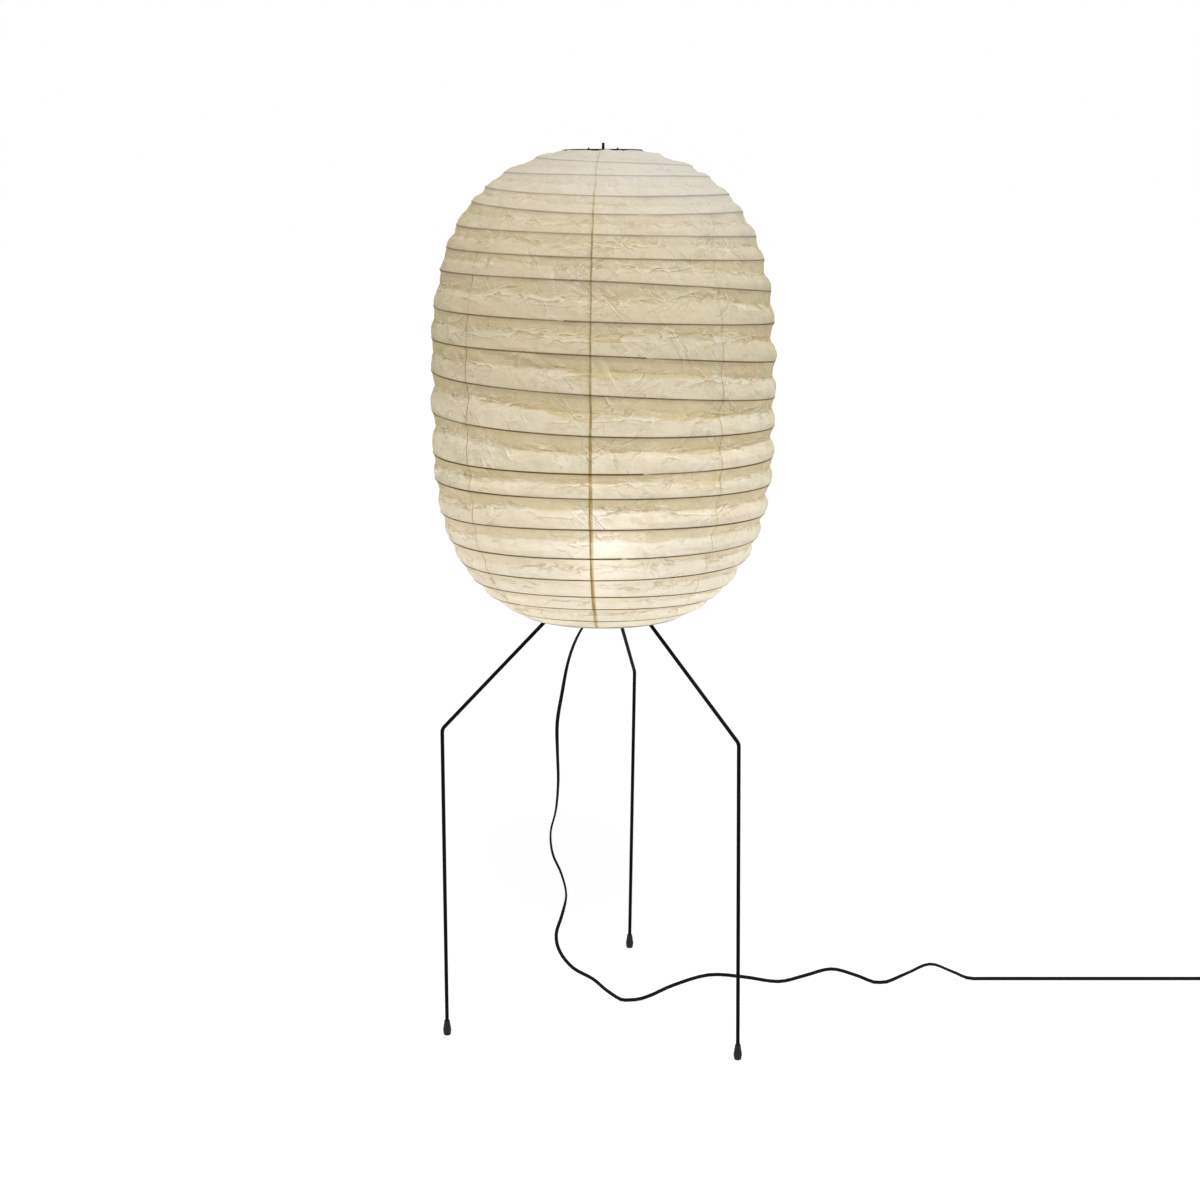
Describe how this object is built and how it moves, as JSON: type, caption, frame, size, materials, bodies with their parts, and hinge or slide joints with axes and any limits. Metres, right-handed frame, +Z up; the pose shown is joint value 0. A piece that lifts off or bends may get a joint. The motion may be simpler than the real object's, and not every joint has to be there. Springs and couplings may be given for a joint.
{
  "type": "paper lantern floor lamp",
  "caption": "Tall rounded paper lantern on bamboo ribs over a black tripod of bent rods, with a bulb, key-switch holder and flat lead.",
  "frame": {"origin": "on the floor under the middle of the shade and tripod", "axes": "+Z up, -Y towards the viewer of the picture, +X to the viewer's right"},
  "size_m": [1.4984, 0.5403, 1.4116],
  "materials": {
    "black_steel": "satin black powder coat",
    "foot_rubber": "matte",
    "bright_steel": "plain",
    "black_phenolic": "semi-gloss",
    "porcelain": "glazed",
    "brass": "plain",
    "base_metal": "plain",
    "bulb_glass": "frosted",
    "washi_paper": "handmade, creased, translucent",
    "bamboo": "split bamboo",
    "cord_vinyl": "satin",
    "relief_rubber": "matte",
    "tie": "matte"
  },
  "bodies": {
    "stand": {"leg_left": "black_steel", "leg_right": "black_steel", "leg_rear": "black_steel", "leg_hub": "black_steel", "stretcher_left": "black_steel", "stretcher_right": "black_steel", "foot_left": "foot_rubber", "foot_right": "foot_rubber", "foot_rear": "foot_rubber", "leg_grub_screws": "bright_steel", "socket_cap": "black_phenolic", "socket_skirt": "black_phenolic", "shade_ring": "black_phenolic", "socket_core": "porcelain", "socket_shell": "brass", "plug_blades": "brass", "bulb_base": "base_metal", "bulb_glass": "bulb_glass", "cord_run": "cord_vinyl", "cord_coil": "cord_vinyl", "cord_tail": "cord_vinyl", "plug_body": "cord_vinyl", "cord_relief": "relief_rubber", "cord_tie": "tie"},
    "shade": {"top_hoop": "black_steel", "bottom_hoop": "black_steel", "top_bar": "black_steel", "centre_pin": "black_steel", "bamboo_spiral": "bamboo", "gore_1": "washi_paper", "gore_2": "washi_paper", "gore_3": "washi_paper", "gore_4": "washi_paper", "gore_5": "washi_paper", "gore_6": "washi_paper", "gore_7": "washi_paper", "gore_8": "washi_paper"},
    "key": {"switch_spindle": "brass", "switch_key": "black_phenolic"}
  },
  "joints": [
    {"name": "shade_lift", "type": "slide", "parent": "stand", "child": "shade", "axis": [0, 0, 1], "range_m": [0, 0.74]},
    {"name": "key_turn", "type": "hinge", "parent": "stand", "child": "key", "pos_m": [0.026, 0, 0.711], "axis": [1, 0, 0], "continuous": true}
  ]
}
